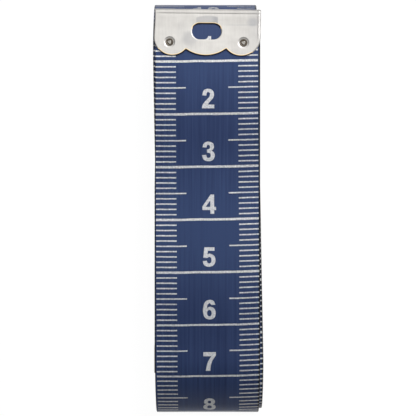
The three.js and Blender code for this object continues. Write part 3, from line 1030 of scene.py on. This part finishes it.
def rivet_brass():
    """Dull brass that darkens in the dimple, with a rubbed bright centre."""
    made, nodes = new_material("rivet_brass")
    grain = nodes.noise(nodes.add("ShaderNodeTexCoord", {}, {}, "Object"), 2600, 3.0)
    rubbed = nodes.kept("rubbed")
    surface(nodes, {
        "Base Color": nodes.blend(rubbed, nodes.blend(grain, DIMPLE_BRASS, DULL_BRASS),
                                  RUBBED_BRASS),
        "Metallic": 1.0,
        "Roughness": 0.5 - rubbed * 0.2,
        "Normal": nodes.bump(0.3, 0.02, grain),
    })
    return made


# Metal tips

def half_width(side, from_fold):
    """From a tip's middle to its side, which flares a little towards the left lobe."""
    flare = min(max(from_fold / FLARE_LENGTH, LEAST_FLARE_SHARE), 1) * LEFT_FLARE
    return TIP_WIDTH / 2 + (flare if side < 0 else 0)


def tip_loops():
    """The front plate's scalloped outline and the slot, with the folded edge on y = 0."""
    def arc(centre, radius, start, end, steps):
        return [centre + radius * Vector((math.cos(angle), math.sin(angle)))
                for angle in (start + (end - start) * i / steps for i in range(steps + 1))]

    lobes = []
    for side, radius, x in ((-1, LEFT_LOBE, LEFT_CUSP_X), (1, RIGHT_LOBE, RIGHT_CUSP_X)):
        centre = Vector((side * (half_width(side, TIP_LENGTH) - radius), radius - TIP_LENGTH))
        cusp = Vector((x, centre.y - math.sqrt(radius ** 2 - (x - centre.x) ** 2)))
        lobes.append((centre, cusp, math.atan2(cusp.y - centre.y, cusp.x - centre.x)))
    (left, left_cusp, left_angle), (right, right_cusp, right_angle) = lobes
    chord = right_cusp - left_cusp
    middle_radius = (chord.length_squared / 4 + MIDDLE_LOBE_RISE ** 2) / (2 * MIDDLE_LOBE_RISE)
    spread = math.asin(chord.length / 2 / middle_radius)
    down = math.atan2(chord.y, chord.x) - math.pi / 2
    middle = ((left_cusp + right_cusp) / 2
              - (middle_radius - MIDDLE_LOBE_RISE) * Vector((math.cos(down), math.sin(down))))
    edge = [Vector((-half_width(-1, 0), -TIP_FOLD))]
    edge += arc(left, LEFT_LOBE, math.pi, 2 * math.pi + left_angle, SIDE_LOBE_STEPS)
    edge += arc(middle, middle_radius, down - spread, down + spread, MIDDLE_LOBE_STEPS)[1:-1]
    edge += arc(right, RIGHT_LOBE, right_angle, 0, SIDE_LOBE_STEPS)
    end = (SLOT_LENGTH - SLOT_WIDTH) / 2
    slot = []
    for side, start in ((1, -math.pi / 2), (-1, math.pi / 2)):
        centre = Vector((TIP_SHIFT + side * end, -SLOT_FROM_EDGE))
        slot += arc(centre, SLOT_WIDTH / 2, start, start + math.pi, SLOT_END_STEPS)
    return edge, slot


def nearest(point, loop, closed=True):
    """Distance from a point to a loop of points, and the nearest spot on it."""
    best = math.inf
    spot = point
    for i in range(0 if closed else 1, len(loop)):
        a, b = loop[i - 1], loop[i]
        way = b - a
        share = min(max((point - a).dot(way) / max(way.length_squared, 1e-12), 0), 1)
        on = a + way * share
        if (point - on).length < best:
            best = (point - on).length
            spot = on
    return best, spot


def filled_in(loop, step):
    """The loop with more points on its long straight sides."""
    dense = []
    for i, a in enumerate(loop):
        b = loop[(i + 1) % len(loop)]
        count = max(1, math.ceil((b - a).length / step))
        dense += [a.lerp(b, j / count) for j in range(count)]
    return dense


RIVET_X = [TIP_SHIFT + side * (TIP_WIDTH / 2 - RIVET_FROM_SIDE) for side in (-1, 1)]
FOLD_ARC = math.pi / 2 * TIP_FOLD


def unrolled(points, side):
    """Points of the front view, laid on the flat sheet: on its front half or on its back half."""
    return [Vector((p.x, side * (FOLD_ARC - TIP_FOLD - p.y))) for p in points]


def ring(middle, radius):
    return [middle + radius * Vector((math.cos(angle), math.sin(angle)))
            for angle in (2 * math.pi * i / RING_SIDES for i in range(RING_SIDES))]


def beside(rim, loops):
    """Points at each inset on both sides of a rim, where they lie on the sheet."""
    points = []
    for i, here in enumerate(rim):
        way = rim[(i + 1) % len(rim)] - rim[i - 1]
        normal = Vector((-way.y, way.x)).normalized()
        for inset in EDGE_INSETS:
            for spot in (here + normal * inset, here - normal * inset):
                if nearest(spot, rim)[0] > INSET_SHARE * inset and inside(spot, loops):
                    points.append(spot)
    return points


def grid_points(rims, loops, rivets):
    """A grid of points over the flat sheet, clear of its rims and its rivets."""
    rows = [FOLD_ARC * i / FOLD_ROWS for i in range(1, FOLD_ROWS + 1)]
    rows += [FOLD_ARC + past for past in ROWS_PAST_FOLD]
    rows += [rows[-1] + GRID_STEP * i for i in range(1, GRID_ROWS + 1)]
    columns = round(TIP_WIDTH / GRID_STEP)
    points = []
    for v in sorted([-row for row in rows] + [0] + rows):
        clear = CLEAR_OF_EDGE_AT_FOLD if abs(v) < FOLD_ARC + FINE_PAST_FOLD else CLEAR_OF_EDGE
        for i in range(1, columns):
            spot = Vector(((i / columns - 0.5) * TIP_WIDTH, v))
            if min((spot - rivet).length for rivet in rivets) > CLEAR_OF_RIVET:
                if inside(spot, loops) and min(nearest(spot, rim)[0] for rim in rims) > clear:
                    points.append(spot)
    return points


def flat_sheet(edge, slot):
    """The tip before it is folded: corners and triangles, then its slots and its rivets' middles.

    Its front half is at positive v, its back half at negative v, and the fold's middle at 0.
    """
    loops = [filled_in(unrolled(edge, 1) + unrolled(edge, -1)[::-1], OUTLINE_STEP)]
    rims = loops[:]
    rivets = []
    points = []
    for side in (1, -1):
        rims.append(filled_in(unrolled(slot, side), SLOT_STEP))
        loops.append(rims[-1])
        for rivet in unrolled([Vector((x, -RIVET_FROM_EDGE)) for x in RIVET_X], side):
            rivets.append(rivet)
            loops.append(ring(rivet, RIVET_HOLE))
            points += [spot for radius in RIVET_RINGS for spot in ring(rivet, radius)]
    for rim in rims:
        points += beside(rim, loops)
    points += grid_points(rims, loops, rivets)
    corners, faces = triangulated(loops, points)
    return corners, faces, rims[1:], rivets


def ramp(value, start, end):
    """0 before start, 1 after end, and a soft step between them."""
    return soft_step((value - start) / (end - start))


def ridge(distance, reach):
    """1 at no distance, 0 from its reach on, round at both."""
    return math.cos(min(abs(distance) / reach, 1) * math.pi / 2) ** 2


def fade(distance, reach):
    """1 at no distance, 0 from its reach on."""
    return max(0, 1 - distance / reach)


def sheet_relief(spot, cut_edge, slots, rivets):
    """How high a spot stands over its plate, and how bare of plating it is, which near the very edge
    also sets a painted shadow.

    Sides, scallops and slot roll over, a crease follows the fold, a ridge follows the right side
    above its lobe, and each rivet sits in a dimple. Brass shows at the scallops and above the slot,
    with a painted black shadow line at their very edge.
    """
    from_fold = abs(spot.y) - FOLD_ARC
    from_cut, nearest_cut = nearest(Vector((spot.x, abs(spot.y))), cut_edge, closed=False)
    from_edge = min(half_width(spot.x, from_fold) - abs(spot.x), from_cut)
    from_slot = min(nearest(spot, slot)[0] for slot in slots)
    from_rivet = min((spot - rivet).length for rivet in rivets)
    stretch, roll = LEFT_SIDE_STRETCH, LEFT_SIDE_ROLL
    height = 0
    if spot.x > 0:
        stretch, roll = RIGHT_SIDE_STRETCH, RIGHT_SIDE_ROLL
        above_lobe = 1 - ramp(from_fold, *RIDGE_END_STRETCH)
        height = RIDGE_RISE * above_lobe * ridge(from_edge - RIDGE_FROM_SIDE, RIDGE_REACH)
    plain_side = ramp(abs(nearest_cut.x), *stretch)
    height -= plain_side * roll * fade(from_edge, SIDE_ROLL_REACH) ** 2
    height -= (1 - plain_side) * CUT_ROLL * fade(from_cut, CUT_ROLL_REACH) ** 2
    height -= SLOT_ROLL * fade(from_slot, SLOT_ROLL_REACH) ** 2
    height -= CREASE_DEPTH * ridge(from_fold - CREASE_FROM_FOLD, CREASE_REACH)
    height -= DIMPLE_DEPTH * (1 - ramp(from_rivet, *DIMPLE_STRETCH))
    above_slot = ramp(SLOT_FROM_EDGE - TIP_FOLD - from_fold, *SLOT_BRASS_AND_SHADOW_STRETCH)
    bare_and_shadow = max((1 - plain_side) * fade(from_cut, CUT_BRASS_AND_SHADOW_REACH),
               above_slot * fade(from_slot, SLOT_BRASS_AND_SHADOW_REACH))
    return height, bare_and_shadow


def folded(spot, height):
    """The place of a flat sheet's spot once the sheet is folded round the strip's end."""
    radius = TIP_FOLD + height
    past_fold = abs(spot.y) - FOLD_ARC
    if past_fold > 0:
        return Vector((spot.x, -TIP_FOLD - past_fold, math.copysign(radius, spot.y)))
    angle = spot.y / TIP_FOLD
    return Vector((spot.x, -TIP_FOLD + radius * math.cos(angle), radius * math.sin(angle)))


def tip_mesh(name):
    """A tip's outer skin: the flat sheet, given its relief and folded."""
    edge, slot = tip_loops()
    corners, faces, slots, rivets = flat_sheet(edge, slot)
    cut_edge = unrolled(edge[1:], 1)
    mesh = bpy.data.meshes.new(name)
    work = bmesh.new()
    bare_and_shadow_layer = work.verts.layers.float.new("cut")
    made = []
    for spot in corners:
        height, bare_and_shadow = sheet_relief(spot, cut_edge, slots, rivets)
        made.append(work.verts.new(folded(spot, height) * MM))
        made[-1][bare_and_shadow_layer] = bare_and_shadow
    for face in faces:
        work.faces.new([made[i] for i in face])
    bmesh.ops.delete(work, geom=[v for v in work.verts if not v.link_faces], context="VERTS")
    bmesh.ops.recalc_face_normals(work, faces=work.faces)
    top = max(work.faces, key=lambda face: face.calc_center_median().z)
    if top.normal.z < 0:
        bmesh.ops.reverse_faces(work, faces=work.faces)
    work.to_mesh(mesh)
    work.free()
    mesh.shade_smooth()
    return mesh


SHARP_METAL_EDGE = math.radians(50)


def hardened(piece, thickness):
    """Gives a sheet its metal thickness on the inner side and keeps the sheared rims crisp."""
    solid = piece.modifiers.new("thickness", "SOLIDIFY")
    solid.thickness = thickness
    solid.offset = -1
    solid.use_even_offset = False
    depsgraph = bpy.context.evaluated_depsgraph_get()
    mesh = bpy.data.meshes.new_from_object(piece.evaluated_get(depsgraph),
                                           preserve_all_data_layers=True, depsgraph=depsgraph)
    piece.modifiers.clear()
    piece.data = mesh
    mesh.set_sharp_from_angle(angle=SHARP_METAL_EDGE)
    return piece


def rivet_mesh(name, metal):
    """A clinched rivet: a rolled ring in each dimple with a pinched, starred centre."""
    half = [(r, z + STRIP_THICKNESS / 2, rubbed) for r, z, rubbed in CLINCH_PROFILE]
    profile = half + [(r, -z, rubbed) for r, z, rubbed in reversed(half)]
    mesh = bpy.data.meshes.new(name)
    work = bmesh.new()
    layer = work.verts.layers.float.new("rubbed")
    rings = []
    for r, z, rubbed in profile:
        around = []
        for i in range(CLINCH_SIDES if r else 1):
            angle = 2 * math.pi * i / CLINCH_SIDES
            star = STAR_DEPTH * math.cos(STAR_POINTS * angle + STAR_TURN)
            reach = r * (1 - star) if STAR_FROM < r < STAR_TO else r
            vert = work.verts.new((reach * math.cos(angle) * MM, reach * math.sin(angle) * MM,
                                   z * MM))
            vert[layer] = rubbed
            around.append(vert)
        rings.append(around if r else around * CLINCH_SIDES)
    for a, b in zip(rings, rings[1:]):
        for i in range(CLINCH_SIDES):
            j = (i + 1) % CLINCH_SIDES
            corners = list(dict.fromkeys((a[i], b[i], b[j], a[j])))
            if len(corners) > 2:
                work.faces.new(corners)
    bmesh.ops.recalc_face_normals(work, faces=work.faces)
    work.to_mesh(mesh)
    work.free()
    mesh.materials.append(metal)
    mesh.shade_smooth()
    return mesh


def placed(mesh, matrix, name):
    """The mesh as an object whose place is in its vertices."""
    made = link(name, mesh)
    made.data.transform(matrix)
    return made


# Building

cloth = coated_cloth()
mark_ink = silver_ink("mark_ink", THIN_MARK_SILVER, FULL_MARK_SILVER)
number_ink = silver_ink("number_ink", THIN_NUMBER_SILVER, FULL_NUMBER_SILVER)
nickel = plated_metal("nickel_plate", DULL_NICKEL, BRIGHT_NICKEL)
# A dark copy of the plated metal, as painted shade for the inner end's tip deep in the coil.
painted_shade_metal = plated_metal("painted_shade_plate", DARK_PAINTED_SHADE_METAL, LIGHT_PAINTED_SHADE_METAL)
brass = rivet_brass()

winding, strip_end = winding_object(winding_places())
numerals = numeral_collection()
trees = {
    "strip": (strip_tree(), STRIP_INPUTS),
    "marks": (mark_tree(), MARK_INPUTS),
    "numbers": (number_tree(), NUMBER_INPUTS),
}
bodies = [f"free_end_{i}" for i in range(1, 6)] + ["coil"]
cuts = [cut * MM for cut in CUTS] + [strip_end]
for i, body in enumerate(bodies):
    start, end = cuts[i], cuts[i + 1]
    label = "coiled_turns" if body == "coil" else f"free_section_{i + 1}"
    strip = grown(f"cloth_{label}", *trees["strip"], Winding=winding, From=start, To=end,
                  Cloth=cloth)
    marks = grown(f"marks_{label}", *trees["marks"], Winding=winding, From=start, To=end,
                  Ink=mark_ink)
    numbers = grown(f"numbers_{label}", *trees["numbers"], Winding=winding, Numerals=numerals,
                    From=start, To=end, Ink=number_ink)
    for piece in (strip, marks, numbers):
        if body == "coil":
            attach(piece, "coil")
            continue
        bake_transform(piece)
    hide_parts(f"tape_{label}")
    end - start

tips = [
    ("zero_end", "free_end_1", (TIP_SEAT_SHIFT, ZERO_EDGE + CORE_MIDDLE), TIP_TURN, nickel),
    # The inner end's tip gets the dark metal as painted shade.
    ("inner_end", "coil", (INNER_SHIFT, INNER_EDGE + CORE_MIDDLE), math.pi, painted_shade_metal),
]
tip_shape = tip_mesh("tip_plate")
for prefix, body, spot, turn, metal in tips:
    middle = Vector(spot).to_3d() * MM
    middle.z = sum(corner[2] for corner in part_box(f"{prefix}_tip")) / 2
    matrix = Matrix.Translation(middle) @ Matrix.Rotation(turn, 4, "Z")
    tip = hardened(placed(tip_shape.copy(), matrix, f"{prefix}_plate"), TIP_METAL * MM)
    tip.data.materials.append(metal)
    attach(tip, body)
    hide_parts(f"{prefix}_tip")
    for side, x in zip(("left", "right"), RIVET_X):
        name = f"{prefix}_clinch_{side}"
        seat = matrix @ Matrix.Translation(Vector((x, -RIVET_FROM_EDGE, 0)) * MM)
        rivet = placed(rivet_mesh(name, brass), seat, name)
        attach(rivet, body)
        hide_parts(f"{prefix}_rivet_{side}")

for helper in [winding, *numerals.objects]:
    bpy.data.objects.remove(helper)
bpy.data.collections.remove(numerals)


# Floor, light and camera

def white_studio():
    """A floor with a low wall round it. Both show white, also in metal, and keep the shadow."""
    made, nodes = new_material("white_studio")
    path = nodes.add("ShaderNodeLightPath", {}, {}, "Is Camera Ray")
    seen = path + path.other("Is Glossy Ray") + path.other("Is Transmission Ray")
    plain = nodes.add("ShaderNodeBsdfDiffuse", {}, {"Color": (0.9, 0.9, 0.9, 1)})
    bright = nodes.add("ShaderNodeEmission", {},
                       {"Color": (1, 1, 1, 1), "Strength": STUDIO_GLOW})
    share = seen.math("MINIMUM", 1) * STUDIO_GLOW_SHARE
    mixed = nodes.add("ShaderNodeMixShader", {}, {0: share, 1: plain, 2: bright})
    nodes.add("ShaderNodeOutputMaterial", {}, {"Surface": mixed})
    mesh = bpy.data.meshes.new("studio")
    sides = STUDIO_SIDES
    points = [(STUDIO_RADIUS * math.cos(2 * math.pi * i / sides),
               STUDIO_RADIUS * math.sin(2 * math.pi * i / sides), level)
              for level in (FLOOR_LEVEL * MM, STUDIO_HEIGHT) for i in range(sides)]
    walls = [((i + 1) % sides, i, sides + i, sides + (i + 1) % sides) for i in range(sides)]
    mesh.from_pydata(points, [], [list(range(sides)), *walls])
    mesh.materials.append(made)
    link("studio", mesh)


def dim_ceiling():
    world = bpy.data.worlds.new("dim_ceiling")
    bpy.context.scene.world = world
    world.use_nodes = True
    world.node_tree.nodes.clear()
    nodes = Nodes(world.node_tree)
    light = nodes.add("ShaderNodeBackground", {},
                      {"Color": (1, 1, 1, 1), "Strength": CEILING_LIGHT})
    nodes.add("ShaderNodeOutputWorld", {}, {"Surface": light})


def soft_lamp(name, place, size, power, height=None):
    """A round lamp, or an oval one with its own height, that points at the origin."""
    data = bpy.data.lights.new(name, "AREA")
    data.shape = "ELLIPSE"
    data.size = size
    data.size_y = height or size
    data.energy = power
    lamp = link(name, data)
    lamp.location = place
    lamp.rotation_mode = "QUATERNION"
    lamp.rotation_quaternion = (-Vector(place)).to_track_quat("-Z", "Y")
    return lamp


def straight_down_camera():
    data = bpy.data.cameras.new("camera")
    data.sensor_width = 36
    data.lens = CAMERA_LENS
    data.clip_start = 0.01
    camera = link("camera", data)
    camera.location = (CAMERA_X * MM, CAMERA_Y * MM, (FACE_LEVEL + CAMERA_OVER_FACE) * MM)
    bpy.context.scene.camera = camera


white_studio()
dim_ceiling()

# Places and sizes in metres. The first two lamps only show where the object mirrors, and the third
# one gives the even light and the shadow.
mirrored = soft_lamp("mirrored_lamp", (0.07, 0.24, 0.45), size=0.6, power=0.99)
mirrored.visible_diffuse = False
glint = soft_lamp("glint_lamp", (0.304, 0.238, 0.46), size=0.4, power=0.92, height=0.13)
glint.visible_diffuse = False
key = soft_lamp("key_lamp", (0.035, 0.14, 0.20), size=0.06, power=0.5)
key.visible_glossy = False
straight_down_camera()
bpy.context.scene.view_settings.view_transform = "Standard"
